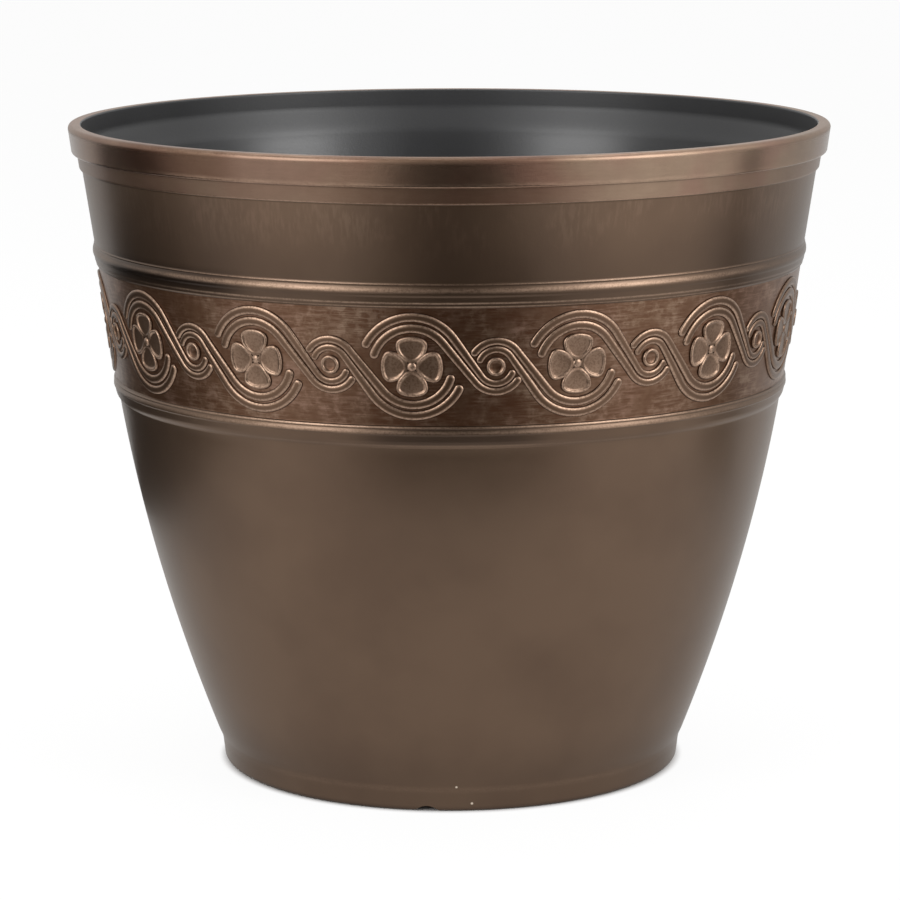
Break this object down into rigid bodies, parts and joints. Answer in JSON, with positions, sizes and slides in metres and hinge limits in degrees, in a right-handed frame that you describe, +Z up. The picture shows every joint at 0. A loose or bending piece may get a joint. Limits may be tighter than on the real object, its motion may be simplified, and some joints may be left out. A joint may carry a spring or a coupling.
{
  "type": "urn planter",
  "caption": "Round tapered floor planter with a flared rim, beaded bands, a raised frieze of scrolls and flowers, a recessed floor with drain plugs, and a notched foot ring.",
  "frame": {"origin": "centre of the foot ring, on the ground", "axes": "+Z up along the pot's axis; a flower of the frieze, a foot notch and the front drain plug face -Y"},
  "size_m": [0.3899, 0.39, 0.334],
  "materials": {
    "bronze_resin": "satin bronze paint outside, dark grey resin inside",
    "rubbed_bronze": "bronze paint rubbed lighter on the raised edges",
    "plug_rubber": "matt black"
  },
  "bodies": {
    "pot": {"pot_shell": "bronze_resin", "frieze_scrolls": "rubbed_bronze", "frieze_flowers": "rubbed_bronze", "frieze_bosses": "rubbed_bronze"},
    "plug_front": {"drain_plug_front": "plug_rubber"},
    "plug_right": {"drain_plug_right": "plug_rubber"},
    "plug_left": {"drain_plug_left": "plug_rubber"}
  },
  "joints": [
    {"name": "plug_front_lift", "type": "slide", "parent": "pot", "child": "plug_front", "axis": [0, 0, 1], "range_m": [0, 0.34]},
    {"name": "plug_right_lift", "type": "slide", "parent": "pot", "child": "plug_right", "axis": [0, 0, 1], "range_m": [0, 0.34]},
    {"name": "plug_left_lift", "type": "slide", "parent": "pot", "child": "plug_left", "axis": [0, 0, 1], "range_m": [0, 0.34]}
  ]
}
